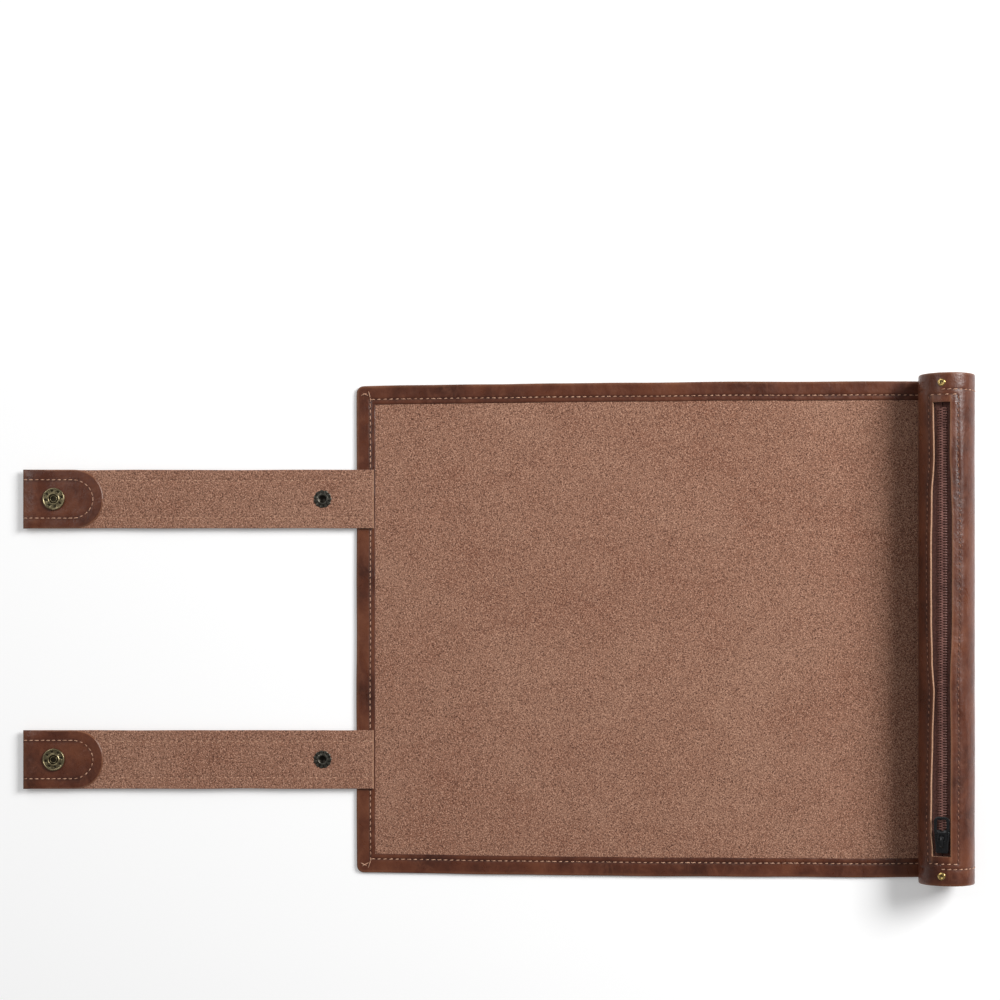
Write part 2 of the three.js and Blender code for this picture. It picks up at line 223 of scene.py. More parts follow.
def paintThread(coord, look):
    tone = noiseNode(coord, 380, 3, 0.6)
    twist = waveNode(coord, look["twist"], "DIAGONAL")
    return {"Base Color": shadeToLight(tone, look, 0.3, 0.62), "Roughness": 0.7,
            "Normal": bumpNode(twist, 0.5, 0.0001)}


rawLook = {"shade": (0.33, 0.165, 0.09), "light": (0.55, 0.33, 0.215)}


def paintRawEdge(coord, look):
    fibre = noiseNode(coord, 700, 4, 0.7)
    return {"Base Color": shadeToLight(fibre, look), "Roughness": 0.85,
            "Normal": bumpNode(fibre, 0.5, 0.0002)}


tapeLook = {"shade": (0.09, 0.034, 0.026), "light": (0.23, 0.096, 0.074), "weave": 900}


def paintTape(coord, look):
    warp = waveNode(coord, look["weave"], "Y", 0.6)
    colour = shadeToLight(noiseNode(coord, 900, 3, 0.6), look)
    colour = mixColour(rangeNode(warp, 0.0, 0.4, 0.0, 1.0), colour, look["shade"])
    return {"Base Color": colour, "Roughness": 0.85, "Normal": bumpNode(warp, 0.6, 0.0003)}


coilLook = {"shade": (0.14, 0.054, 0.043), "light": (0.33, 0.15, 0.12)}


def paintCoil(coord, look):
    tone = noiseNode(coord, 240, 3, 0.6)
    return {"Base Color": shadeToLight(tone, look), "Roughness": rangeNode(tone, 0.34, 0.5)}


# near black: painted shade in the holes, grooves and petal gaps of the metal parts, and darker dents on the socket's
# ring
metalDirtAndShade = (0.012, 0.010, 0.008)
metalLooks = {
    "antiqueBrass": {"shade": (0.21, 0.17, 0.095), "light": (0.34, 0.285, 0.165),
                     "rough": (0.38, 0.27), "metallic": 1.0, "spots": 260},
    "gunmetal": {"shade": (0.045, 0.042, 0.036), "light": (0.15, 0.14, 0.115),
                 "rough": (0.45, 0.28), "metallic": 1.0, "spots": 600},
    "blackEnamel": {"shade": (0.004, 0.004, 0.005), "light": (0.012, 0.012, 0.013),
                    "rough": (0.32, 0.2), "metallic": 0.1, "spots": 600},
    "brightBrass": {"shade": (0.52, 0.34, 0.10), "light": (0.85, 0.62, 0.26),
                    "rough": (0.28, 0.16), "metallic": 1.0, "spots": 600},
}


def paintMetal(coord, look):
    tone = noiseNode(coord, look["spots"], 5, 0.65)
    colour = shadeToLight(tone, look, 0.35, 0.65)
    # painted shade from the mesh's dirt-and-shade value
    colour = mixColour(meshShare(coord, "dirt", 0.92), colour, metalDirtAndShade)
    return {"Base Color": colour, "Roughness": rangeNode(tone, *look["rough"]),
            "Metallic": look["metallic"], "Normal": bumpNode(tone, 0.05, 0.0001)}


leather = makeMaterial("leather", leatherLook, paintLeather)
suede = makeMaterial("suede", suedeLook, paintSuede)
thread = makeMaterial("thread", threadLook, paintThread)
darkThread = makeMaterial("darkThread", darkThreadLook, paintThread)
rawEdge = makeMaterial("rawEdge", rawLook, paintRawEdge)
zipTape = makeMaterial("zipTape", tapeLook, paintTape)
zipCoil = makeMaterial("zipCoil", coilLook, paintCoil)
metals = {name: makeMaterial(name, look, paintMetal) for name, look in metalLooks.items()}
print("materials ready")


# mesh helpers: a bag collects vertices in millimetres, faces, and the finish of each face

def newBag(*finishes):
    return {"verts": [], "faces": [], "finish": [], "wear": [], "dirt": [], "finishes": finishes}


def addFaces(bag, verts, faces, finish=0, wear=None, dirt=None):
    start = len(bag["verts"])
    bag["verts"] += [tuple(v) for v in verts]
    bag["faces"] += [[start + i for i in face] for face in faces]
    bag["finish"] += [finish] * len(faces)
    bag["wear"] += wear or [0.0] * len(verts)
    bag["dirt"] += dirt or [0.0] * len(verts)


def turnedOver(faces):
    return [face[::-1] for face in faces]


def gridFaces(rows, columns, closed=False):
    faces = []
    for i in range(rows - 1):
        for j in range(columns - (0 if closed else 1)):
            k = (j + 1) % columns
            faces.append([i * columns + j, (i + 1) * columns + j, (i + 1) * columns + k, i * columns + k])
    return faces


# rings joined by a wall and closed at both ends
def ringFaces(rings, segments):
    faces = turnedOver(gridFaces(rings, segments, closed=True))
    faces.append(list(range(segments))[::-1])
    faces.append([(rings - 1) * segments + s for s in range(segments)])
    return faces


# a sheet with two faces and a wall around its open edge
def addThick(bag, outer, inner, faces, wallFinish, wear, dirt):
    count = len(outer)
    edges = [(a, b) for face in faces for a, b in zip(face, face[1:] + face[:1])]
    known = set(edges)
    walls = [[b, a, a + count, b + count] for a, b in edges if (b, a) not in known]
    back = [[i + count for i in reversed(face)] for face in faces]
    addFaces(bag, outer + inner, faces + back + walls, 0, wear * 2, dirt + [0.0] * count)
    bag["finish"][len(bag["finish"]) - len(walls):] = [wallFinish] * len(walls)


# a thick sheet; point gives its upper and lower point, wear, and the dirt-and-shade value (painted shade) at each
# place
def addSheet(bag, columns, rows, point, wallFinish=0):
    places = [point(column, row) for column in columns for row in rows]
    top, under, wear, dirt = [list(part) for part in zip(*places)]
    addThick(bag, top, under, gridFaces(len(columns), len(rows)), wallFinish, wear, dirt)


def newObject(name, data):
    made = bpy.data.objects.new(name, data)
    bpy.context.scene.collection.objects.link(made)
    return made


# edges bent by more than this angle stay sharp
def makePiece(name, bag, sharp=40):
    mesh = bpy.data.meshes.new(name)
    mesh.from_pydata([tuple(c * mm for c in v) for v in bag["verts"]], [], bag["faces"])
    for finish in bag["finishes"]:
        mesh.materials.append(finish)
    mesh.polygons.foreach_set("material_index", bag["finish"])
    for key in ("wear", "dirt"):
        values = mesh.attributes.new(key, "FLOAT", "POINT")
        values.data.foreach_set("value", bag[key])
    mesh.polygons.foreach_set("use_smooth", [True] * len(mesh.polygons))
    mesh.set_sharp_from_angle(angle=math.radians(sharp))
    mesh.update()
    return newObject(name, mesh)


def settle(piece, body, node):
    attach(piece, body)
    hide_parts(node)


def bend(piece, fromX, toX):
    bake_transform(piece)


# rings from (radius, height) pairs; point gives the place, wear and the dirt-and-shade value (painted shade) of each
# vertex
def addTurned(bag, profile, segments, point):
    places = [point(i, 2 * math.pi * s / segments, *profile[i]) for i in range(len(profile)) for s in range(segments)]
    verts, wear, dirt = [list(part) for part in zip(*places)]
    addFaces(bag, verts, ringFaces(len(profile), segments), 0, wear, dirt)


def aroundAxis(x, y, angle, r, height):
    return x + r * math.cos(angle), y + r * math.sin(angle), height


# a bar with a rounded section swept along points; a lower power makes the section squarer
def addSwept(bag, points, ups, width, height, finish=0, closed=False, sides=10, power=0.6):
    count = len(points)
    verts = []
    for i in range(count):
        before = points[i - 1] if closed or i else points[i]
        after = points[(i + 1) % count] if closed or i < count - 1 else points[i]
        along = (after - before).normalized()
        side = along.cross(ups[i] if isinstance(ups, list) else ups).normalized()
        over = side.cross(along)
        for s in range(sides):
            angle = 2 * math.pi * (s + 0.5) / sides
            c, d = math.cos(angle), math.sin(angle)
            a = math.copysign(abs(c) ** power, c) * width / 2
            b = math.copysign(abs(d) ** power, d) * height / 2
            verts.append(points[i] + side * a + over * b)
    faces = turnedOver(ringFaces(count, sides))
    if closed:
        faces = [[i % len(verts) for i in face] for face in gridFaces(count + 1, sides, closed=True)]
    addFaces(bag, verts, faces, finish)


threadSpec = {
    "pitch": 3.35, "length": 1.95, "width": 0.58, "rise": 0.34, "slant": 0.13, "jitter": 0.14,
    "rings": 5, "sides": 6,
}
upward, downward = Vector((0, 0, 1)), Vector((0, 0, -1))
lengthwise, crosswise = Vector((1, 0, 0)), Vector((0, 1, 0))


# one stitch, a short bowed length of thread that dives into the leather at both ends
def addStitch(bag, centre, along, up, length=threadSpec["length"], slant=threadSpec["slant"], finish=1):
    spec = threadSpec
    rings, sides = spec["rings"], spec["sides"]
    along, up = Vector(along).normalized(), Vector(up).normalized()
    lean = slant + chance.uniform(-1, 1) * spec["jitter"] * 0.4
    along = (along + up.cross(along) * lean).normalized()
    side = up.cross(along)
    half = length / 2 * (1 + chance.uniform(-1, 1) * spec["jitter"])
    verts = []
    for i in range(rings):
        t = -1 + 2 * i / (rings - 1)
        bow = 1 - t * t
        middle = Vector(centre) + along * (half * t) + up * (spec["rise"] * (bow - 0.55))
        fat = 0.55 + 0.45 * bow
        for s in range(sides):
            angle = 2 * math.pi * s / sides
            verts.append(middle + side * (math.cos(angle) * spec["width"] / 2 * fat)
                         + up * (math.sin(angle) * spec["rise"] * 0.62 * fat))
    addFaces(bag, verts, ringFaces(rings, sides), finish)


# mat: the leather cover bends at every fold line, so each piece runs from one panel's middle to the next

matSpec = {
    "hem": 10.5, "stitchIn": 7.7, "edgeRound": 0.9, "cover": 1.0, "height": 1.8, "corner": 4.0,
    "taper": 2.8, "edgeWave": 0.35, "foldPare": 0.86, "hemPare": 0.45, "tuck": 4.0, "columns": 14,
    "stitchDent": 0.34, "stitchGroove": 0.32, "sag": 0.06, "innerDrop": 0.22, "unevenness": 0.09,
}
lastFold = 21
matEdge = boxMm("panel_22")[0].x
matHalf = boxMm("panel_10")[1].y
tubeLow, tubeHigh = boxMm("pocket_tube")
tubeRadius = (tubeHigh.z - tubeLow.z) / 2
tubeX = (tubeLow.x + tubeHigh.x) / 2
tubeEnd = tubeHigh.y
foldNames = ["tube_fold"] + [f"fold_{i:02d}" for i in range(1, lastFold + 1)]
foldNames[16] = "roll_up"       # the joint that leads the others
foldX = [jointX(name) for name in foldNames]
matMids = [(a + b) / 2 for a, b in zip(foldX, foldX[1:] + [matEdge])]
hemRows = [0, 0.1, 0.3, 0.6, 1.0, 1.8, 3.2, 4.8, 6.2, 6.9, 7.35, 7.7, 8.05, 8.5, 9.2, 9.9, 10.3, 10.5, 10.62]
coverRows = [(-1, offset) for offset in hemRows] + [(0, i / 9) for i in range(-9, 10)]
coverRows += [(1, offset) for offset in reversed(hemRows)]      # side and distance from it, or a share inside


def panelName(k):
    return "panel_%02d" % k


def matHalfAt(x, side):
    share = clip((tubeX - x) / (tubeX - matEdge))
    return matHalf - matSpec["taper"] * share ** 2 + matSpec["edgeWave"] * wander(x, side * 40, 38, 3.1)


def matEdgeAt(y):
    return matEdge + 0.3 + matSpec["edgeWave"] * wander(y, 7, 45, 5.3)


# height of the cover at a distance from the mat's edge
def hemTop(d, x, y):
    spec = matSpec
    if d < spec["edgeRound"]:
        return spec["height"] - softEdge(d, spec["edgeRound"])
    if d > spec["hem"] + 0.06:
        return spec["cover"]
    height = spec["height"] - spec["stitchDent"] * hump(d - spec["stitchIn"], 0.65)
    height -= spec["sag"] * hump(d - 4.0, 2.2) + spec["innerDrop"] * max(0.0, (d - 9.6) / 0.9) ** 2
    return height + spec["unevenness"] * wander(x, y, 9, 1.7) * min(1.0, d / 3)


# the cover is thinner under each fold line, which lets the roll come out rounder
def foldPare(x, limit):
    if x > foldX[0]:
        return 0.1
    k = min(range(lastFold + 1), key=lambda i: abs(x - foldX[i]))
    near = matMids[k] if x < foldX[k] or k == 0 else matMids[k - 1]
    share = min(1.0, abs(x - foldX[k]) / abs(near - foldX[k]))
    ideal = max(1e-4, 1.4 * (0.5 + 0.5 * math.cos(math.pi * share)) ** 0.95)
    return (ideal ** -6 + limit ** -6) ** (-1 / 6)      # the smaller of the two, without a kink


def matUnder(d, x):
    spec = matSpec
    extra = spec["hemPare"] * clip((9.8 - d) / 2)       # the hem is double and can be pared deeper
    pare = foldPare(x, spec["foldPare"] + extra)
    groove = spec["stitchGroove"] * hump(d - spec["stitchIn"], 0.6)
    return max(softEdge(d, spec["edgeRound"]), min(pare + groove, 1.1 + extra / 2))


# under the tube the cover thins to a wedge that follows the tube's underside
def tuckTop(x, height):
    reach = tubeX - x
    if reach > tubeRadius * 0.62:
        return height
    return min(height, tubeRadius - math.sqrt(tubeRadius ** 2 - reach ** 2) - 0.06)


# x columns of one piece, from left to right
def matColumns(k):
    right = tubeX - matSpec["tuck"] if k == 0 else matMids[k - 1]
    if k < lastFold:
        return list(np.linspace(matMids[k], right, matSpec["columns"] + 1))
    edge = [matEdge + offset for offset in hemRows]
    return edge + list(np.linspace(edge[-1], right, 7))[1:]


# moves a point near a corner from the square outline to the round one
def roundCorner(dx, dy):
    radius = matSpec["corner"]
    px, py = radius - dx, radius - dy
    if px <= 0 or py <= 0:
        return dx, dy
    scale = max(px, py) / math.hypot(px, py)
    return radius - px * scale, radius - py * scale


# a point of the cover and its distance from the mat's edge
def coverPoint(x, side, value, k):
    dx = x - matEdge if k == lastFold else 1e3      # any great distance
    if side == 0:
        y = value * (matHalfAt(x, 1) - hemRows[-1] - 0.4)
        return x, y, min(dx, matHalf - abs(y))
    roundX, roundY = roundCorner(dx, value)
    y = side * (matHalfAt(x, side) - roundY)
    return matEdge + roundX if k == lastFold else x, y, min(dx, value)


# bakes the piece's place into its mesh; the panel middles beside its fold line are handed to bend, which does not use
# them. The first fold line joins the tube
def bendPiece(piece, k):
    if k:
        bend(piece, matMids[k - 1], matMids[k])
    else:
        bend(piece, matMids[0], 2 * foldX[0] - matMids[0])


def addCover(k):
    columns = matColumns(k)

    def point(columnX, row):
        x, y, d = coverPoint(columnX, *row, k)
        if k == lastFold:
            x += (matEdgeAt(y) - matEdge) * max(0.0, 1 - (x - matEdge) / 14)
        high = tuckTop(x, hemTop(d, x, y))
        low = min(matUnder(d, x), high - 0.05)
        if d <= 0:      # both faces all but meet at the edge
            high, low = matSpec["edgeRound"], matSpec["edgeRound"] - 0.004
        wear = 0.55 * hump(d - 0.4, 0.8) * (0.6 + 0.6 * wander(x, y, 12, 2.2))
        # painted shade along the stitch groove and under the hem's inner edge, where it steps down to the lining
        dirt = 0.75 * hump(d - matSpec["stitchIn"], 0.6) + 0.5 * hump(d - 10.6, 0.5)
        return (x, y, high), (x, y, low), wear, dirt

    bag = newBag(leather, thread)
    addSheet(bag, columns, coverRows, point)
    addHemStitches(bag, k, columns[0], columns[-1])
    piece = makePiece("mat_cover_%02d" % k, bag)
    bendPiece(piece, k)
    if k:
        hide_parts(panelName(k))
    if k == lastFold:
        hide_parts("panel_22")


def addHemStitch(bag, x, y, along):     # seen from above and from below
    inset = matSpec["stitchIn"]
    addStitch(bag, (x, y, hemTop(inset, x, y) + 0.1), along, upward)
    addStitch(bag, (x, y, matUnder(inset, x) + 0.02), along, downward, 2.3)


def addHemStitches(bag, k, left, right):
    inset, pitch = matSpec["stitchIn"], threadSpec["pitch"]
    first = matEdge + inset
    for side in (-1, 1):
        for i in range(int((foldX[0] - 2 - first) / pitch) + 1):
            x = first + (i + 0.5) * pitch
            if left <= x < right:
                addHemStitch(bag, x, side * (matHalfAt(x, side) - inset), lengthwise)
    if k < lastFold:
        return
    rows = int((matHalf - inset) / pitch)
    for i in range(-rows, rows + 1):
        y = i * pitch
        if abs(y) < matHalf - inset - 2:
            addHemStitch(bag, matEdgeAt(y) + inset, y, crosswise)
    for side in (-1, 1):    # the thread crosses over itself at each corner
        y = side * (matHalfAt(matEdge, side) - 4.6)
        for reach, lean in ((3.0, 0.5), (5.2, 1.3), (2.2, -0.4)):
            direction = (math.cos(lean), -side * math.sin(lean), 0)
            addStitch(bag, (matEdge + 2.2 + reach, y, matSpec["height"] + 0.1), direction, upward, 3.6, 0.0)


for k in range(lastFold + 1):
    addCover(k)
print("mat cover in place")


# lining of the mat: one suede sheet, cut at the same places

liningSpec = {"under": 1.05, "top": 1.3, "hemLap": 0.35, "rows": 64, "columns": 14, "unevenness": 0.05}


def liningHalfAt(x, side):
    return matHalfAt(x, side) - matSpec["hem"] + liningSpec["hemLap"]


def addLining(k):
    spec = liningSpec
    left = matEdgeAt(0) + matSpec["hem"] - spec["hemLap"] if k == lastFold else matMids[k]
    right = foldX[0] + 0.5 if k == 0 else matMids[k - 1]

    def point(x, share):
        y = share * liningHalfAt(x, 1 if share > 0 else -1)
        high = tuckTop(x, spec["top"] + spec["unevenness"] * wander(x, y, 14, 4.4))
        return (x, y, high), (x, y, min(spec["under"], high - 0.04)), 0.0, 0.0

    bag = newBag(suede)
    addSheet(bag, np.linspace(left, right, spec["columns"] + 1), np.linspace(-1, 1, spec["rows"] + 1), point)
    piece = makePiece("mat_lining_%02d" % k, bag)
    bendPiece(piece, k)
    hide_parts("mat_lining")
    return piece, ((right - left) * mm, 2 * liningHalfAt(left, 1) * mm)


linings = [addLining(k) for k in range(lastFold + 1)]
liningEnds = {2: [linings[0][0], linings[1][0]], 20: [linings[21][0]]}     # the narrow ends listed beside their neighbours; nothing below joins them
for k in range(2, lastFold):
    piece, cut = linings[k]
    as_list(liningEnds.get(k, []))
print("mat lining in place")


# straps: leather below, suede above, each cut like the mat

strapSpec = {
    "width": 32.4, "leatherLow": 2.0, "leatherHigh": 2.86, "liningHigh": 3.4, "overlap": 9.8, "stitchIn": 6.1,
    "edgeRound": 0.3, "edgeWave": 0.25, "columns": 14, "foldPare": 0.54, "studSink": 0.3, "edgeSink": 0.16,
    "sewnIn": 3.7, "sewnPitch": 2.7,
}
strapRows = [0, 0.08, 0.2, 0.35, 0.8, 2.4, 4.4, 5.3, 5.8, 6.1, 6.4, 6.9, 8.2, 9.6, 10.6, 11.6, 13.0, 14.6, 16.2]
strapAcross = [(-1, offset) for offset in strapRows] + [(1, offset) for offset in reversed(strapRows[:-1])]
strapCount = 9
strapTip = boxMm("front_strap_9")[0].x
strapInner = matEdge + strapSpec["overlap"]


def strapFoldX(side):
    names = [f"{side}_strap_fold_{j}" for j in range(strapCount)]
    names[6] = f"{side}_strap_close"        # the joint that leads the last folds
    return [jointX(name) for name in names]


def strapHalfAt(x, edge, seed):
    return strapSpec["width"] / 2 + strapSpec["edgeWave"] * wander(x, edge * 30, 30, seed)


# the folded tip turns up over its last millimetre
def tipTurn(x):
    return softEdge(max(0.0, x - strapTip), 1.0)


# thinner at the folds, so that the strap bends rounder
def strapPare(x, folds):
    share = clip(min(abs(x - fold) for fold in folds) / 8.0)
    return strapSpec["foldPare"] * (0.5 + 0.5 * math.cos(math.pi * share))


# the lining is pressed down where the closed strap passes over the mat's edge
def strapSink(x, folds):
    return strapSpec["edgeSink"] * hump(max(0.0, abs(x - folds[7]) - 10), 4)


def addStrapSheet(bag, columns, middle, seed, layer, folds, stud, lean):
    spec = strapSpec

    def point(x, row):
        edge, offset = row
        y = middle + edge * (strapHalfAt(x, edge, seed) - offset)
        ease = softEdge(offset, spec["edgeRound"]) + 0.2 * hump(offset - spec["stitchIn"], 0.6)
        # painted shade along the stitch row
        dirt = 0.6 * hump(offset - spec["stitchIn"], 0.5)
        if layer == "leather":
            low = spec["leatherLow"] + max(ease + strapPare(x, folds), tipTurn(x))
            high = max(spec["leatherHigh"], low + 0.02)
            return (x, y, high), (x, y, low), 0.8 * hump(offset, 0.35), dirt
        fromStud = math.hypot(x - stud.x, y - stud.y)
        sunk = spec["studSink"] * hump(max(0.0, fromStud - 4.6), 1.6) + strapSink(x, folds)
        high = spec["liningHigh"] - ease - sunk - 0.02 + 0.04 * wander(x, y, 9, seed)
        back = lean if x == columns[-1] else 0.0
        return ((x - back, y, max(spec["leatherHigh"] + 0.1, high)),
                (x, y, spec["leatherHigh"] + 0.02), 0.0, dirt)

    addSheet(bag, columns, strapAcross, point, 2)


def addStrapStitches(bag, folds, middle, seed, left, right, layer):
    spec = strapSpec
    above = layer == "lining"
    last = strapTip + (tabSpec["length"] if above else 4)
    for edge in (-1, 1):
        x = strapInner - 1.6
        while x > last:
            if left <= x < right:
                y = middle + edge * (strapHalfAt(x, edge, seed) - spec["stitchIn"])
                z = spec["leatherLow"] + 0.16 + strapPare(x, folds)
                if above:
                    z = spec["liningHigh"] - 0.14 - strapSink(x, folds) * 1.5
                addStitch(bag, (x, y, z), lengthwise, upward if above else downward)
            x -= threadSpec["pitch"]
    x = strapInner - spec["sewnIn"]       # the row that holds the strap on the mat
    if above and left <= x < right:
        y = middle - spec["width"] / 2 + 2.4
        while y < middle + spec["width"] / 2 - 1.2:
            addStitch(bag, (x, y, spec["liningHigh"] - 0.1), crosswise, upward, 1.9)
            y += spec["sewnPitch"]


tabSpec = {
    "length": 44.3, "low": 3.42, "high": 4.0, "stitchIn": 5.6, "stitchPitch": 3.0, "roundFrom": 17.0,
    "edgeRound": 0.3, "puff": 0.7, "bevel": 0.5, "bevelFrom": 12,
}
tabStraight = tabSpec["length"] - tabSpec["roundFrom"]
tabRowHalf = strapSpec["width"] / 2 - tabSpec["stitchIn"]
tabBow = tabSpec["roundFrom"] - tabSpec["stitchIn"]
tabArc = math.pi * math.sqrt((tabRowHalf ** 2 + tabBow ** 2) / 2)
tabRow = 2 * tabStraight + tabArc


def tabHalf(x):
    share = 1 - max(0.0, strapTip + tabSpec["length"] - x) / tabSpec["roundFrom"]
    return (strapSpec["width"] / 2 + 0.05) * math.sqrt(max(0.0, 1 - max(0.0, share) ** 2.3))


def tabColumns():
    near = [0, 0.08, 0.3, 0.6, 1.0] + list(np.linspace(1.0, tabStraight, 13))[1:]
    far = [tabStraight + tabSpec["roundFrom"] * math.sin(math.pi / 2 * i / 22) for i in range(1, 23)]
    return [strapTip + value for value in near + far]


def tabTop(x, y, d, stitch):
    spec = tabSpec
    if x <= strapTip + 1:
        return spec["high"] - tipTurn(x)
    puff = spec["puff"] * hump(x - strapTip - 6.5, 4.2) * min(1.0, d / 4)
    high = spec["high"] - softEdge(d, spec["edgeRound"]) - 0.2 * hump(stitch, 0.6)
    return max(spec["low"] + 0.02, high + puff + 0.07 * wander(x, y, 7, 6.2))


def tabLine(t):     # the U-shaped row of stitches, t from 0 to 1
    s = t * tabRow
    if s < tabStraight:
        return strapTip + s, -tabRowHalf
    if s > tabStraight + tabArc:
        return strapTip + tabRow - s, tabRowHalf
    angle = math.pi * (s - tabStraight) / tabArc - math.pi / 2
    return strapTip + tabStraight + tabBow * math.cos(angle), tabRowHalf * math.sin(angle)


tabLinePoints = [tabLine(i / 160) for i in range(161)]


def addTabStitches(bag, middle):
    count = int(tabRow / tabSpec["stitchPitch"])
    for i in range(count):
        a, b = Vector(tabLine((i + 0.3) / count)), Vector(tabLine((i + 0.7) / count))
        x, y = (a + b) / 2
        height = tabTop(x, y, tabSpec["stitchIn"], 0) + 0.14
        addStitch(bag, (x, middle + y, height), (b - a).to_3d(), upward, 2.1, 0.05)


# the strap's end folded back over the lining
def addTab(side, middle, folds):
    spec = tabSpec
    edge = [0.85, 0.92, 0.96, 0.985, 1]
    shares = [-share for share in reversed(edge)] + list(np.linspace(-0.75, 0.75, 15)) + edge

    def point(x, share):
        half = max(0.05, tabHalf(x))
        y, reach = share * half, x - strapTip
        d = max(0.0, min(half - abs(y), spec["length"] - reach))
        stitch = min(math.hypot(x - px, y - py) for px, py in tabLinePoints)
        high = tabTop(x, y, d, stitch)
        inset = spec["bevel"] * max(0.0, 1 - d / 1.5) if reach > spec["bevelFrom"] else 0.0
        lean = max(0.0, (reach - spec["bevelFrom"]) / (spec["length"] - spec["bevelFrom"]))
        top = (x - inset * lean, middle + y - math.copysign(inset, y) * (1 - lean * 0.6), high)
        under = (x, middle + y, spec["low"] if reach > 0.9 else min(spec["low"], high - 0.02))
        wear = 0.5 * hump(d, 0.4) if reach > 4 else 0.3 * hump(reach, 1.2)
        # painted shade along the stitches
        return top, under, wear, 0.6 * hump(stitch, 0.5)

    bag = newBag(leather, thread)
    addSheet(bag, tabColumns(), shares, point)
    addTabStitches(bag, middle)
    piece = makePiece(f"{side}_strap_tab", bag)
    bend(piece, (folds[7] + folds[8]) / 2, (folds[8] + strapTip) / 2)


def addStrap(side, seed):
    spec = strapSpec
    folds = strapFoldX(side)
    middle = middleMm(f"{side}_strap_base").y
    stud = middleMm(f"{side}_snap_stud")
    mids = [matMids[lastFold]] + [(a + b) / 2 for a, b in zip(folds, folds[1:] + [strapTip])]
    for index in range(strapCount + 1):     # the first is sewn on the mat
        tip = index == strapCount
        right = mids[index - 1] if index else strapInner
        left = strapTip if tip else mids[index]
        columns = list(np.linspace(left, right, spec["columns"] + 1))
        if tip:
            columns = [left, left + 0.08, left + 0.3, left + 0.6]
            columns += list(np.linspace(left + 1, right, spec["columns"] + 3))
        for layer, finish, slot in (("leather", leather, "leather"), ("lining", suede, "suede")):
            if tip and layer == "lining":       # stops short of the turned tip
                columns = columns[4:]
            bag = newBag(finish, thread, rawEdge)
            lean = 0.6 if index == 0 else 0.0       # the lining's sewn end leans back
            addStrapSheet(bag, columns, middle, seed, layer, folds, stud, lean)
            addStrapStitches(bag, folds, middle, seed, left, right, layer)
            piece = makePiece(f"{side}_strap_{layer}_{index}", bag)
            if index == 0:
                bendPiece(piece, lastFold)
            else:
                bend(piece, mids[index - 1], mids[index])
            if layer == "leather":
                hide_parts(f"{side}_strap_{index}" if index else f"{side}_strap_base")
                continue
            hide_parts(f"{side}_strap_lining")
            if index == 0:
                continue
    addTab(side, middle, folds)


addStrap("front", 8.1)
addStrap("rear", 9.6)
print("straps in place")


# snap fasteners

snapSpec = {
    "dents": 8, "dentCircle": 4.35, "dentSize": 0.5625, "dentDepth": 0.4, "petals": 11,
    "springRadius": 1.72, "springThick": 0.36,
}


def addSocket(side):
    low, high = boxMm(f"{side}_snap_socket")
    centre = middleMm(f"{side}_snap_socket")
    radius, tall = (high.x - low.x) / 2, high.z - low.z
    rim = [(0.96, 0.05), (1, 0.35), (1, tall * 0.5), (0.985, tall * 0.72), (0.955, tall * 0.86),
           (0.915, tall * 0.92), (0.875, tall * 0.86)]
    rim += [(share, tall * 0.76) for share in np.linspace(0.85, 0.56, 14)]
    profile = [(2.45, 0.05)] + [(radius * share, height) for share, height in rim]
    profile += [(3.3, tall * 0.80), (3.15, tall * 0.95), (2.95, tall), (2.7, tall * 0.97), (2.5, tall * 0.86),
                (2.35, tall * 0.5), (2.3, 0.25), (0.02, 0.2)]

    def dentAt(angle, r):
        step = 2 * math.pi / snapSpec["dents"]
        off = (angle + 0.2) % step - step / 2
        return hump(math.hypot(off * r, r - snapSpec["dentCircle"]), snapSpec["dentSize"])

    def point(index, angle, r, h):
        # painted shade deep in the socket's hole
        dirt = 0.95 if index > 26 else 0.0
        if 8 <= index < 22:         # the flat ring, darkened all over and more so in its dents
            dent = dentAt(angle, r)
            h, dirt = h - snapSpec["dentDepth"] * dent, min(1.0, dent * 1.3 + 0.3)
        return aroundAxis(centre.x, centre.y, angle, r, low.z + h), 0.0, dirt

    bag = newBag(metals["antiqueBrass"])
    addTurned(bag, profile, 128, point)
    reach, thick = snapSpec["springRadius"], snapSpec["springThick"]
    spring = [Vector(aroundAxis(centre.x, centre.y, angle, reach, low.z + tall * 0.6))
              for angle in np.linspace(0, 2 * math.pi, 37)[:-1]]
    addSwept(bag, spring, upward, thick, thick, closed=True)
    settle(makePiece(f"{side}_socket", bag, 50), f"{side}_strap_9", f"{side}_snap_socket")


def addCap(side):
    low, high = boxMm(f"{side}_snap_cap")
    centre = middleMm(f"{side}_snap_cap")
    radius = (high.x - low.x) / 2
    seat, post = strapSpec["leatherLow"] - 0.04, strapSpec["liningHigh"] + 0.4
    profile = [(radius * math.sin(a), seat - 1.45 - 0.48 * math.cos(a) ** 1.2) for a in np.linspace(0.004, 1.25, 14)]
    rim = ((0.975, 1.35), (0.995, 1.1), (1, 0.7), (0.99, 0.25), (0.95, 0))
    profile += [(radius * share, seat - depth) for share, depth in rim]
    profile += [(1.5, seat), (1.5, post), (0.02, post + 0.05)]

    def point(index, angle, r, h):
        # painted shade where the dome meets its rim and round the rim's foot
        dirt = 0.25 * hump(r - radius * 0.96, 0.3)
        return aroundAxis(centre.x, centre.y, angle, r, h), 0.0, dirt

    bag = newBag(metals["antiqueBrass"])
    addTurned(bag, profile, 72, point)
    settle(makePiece(f"{side}_cap", bag, 60), f"{side}_strap_9", f"{side}_snap_cap")


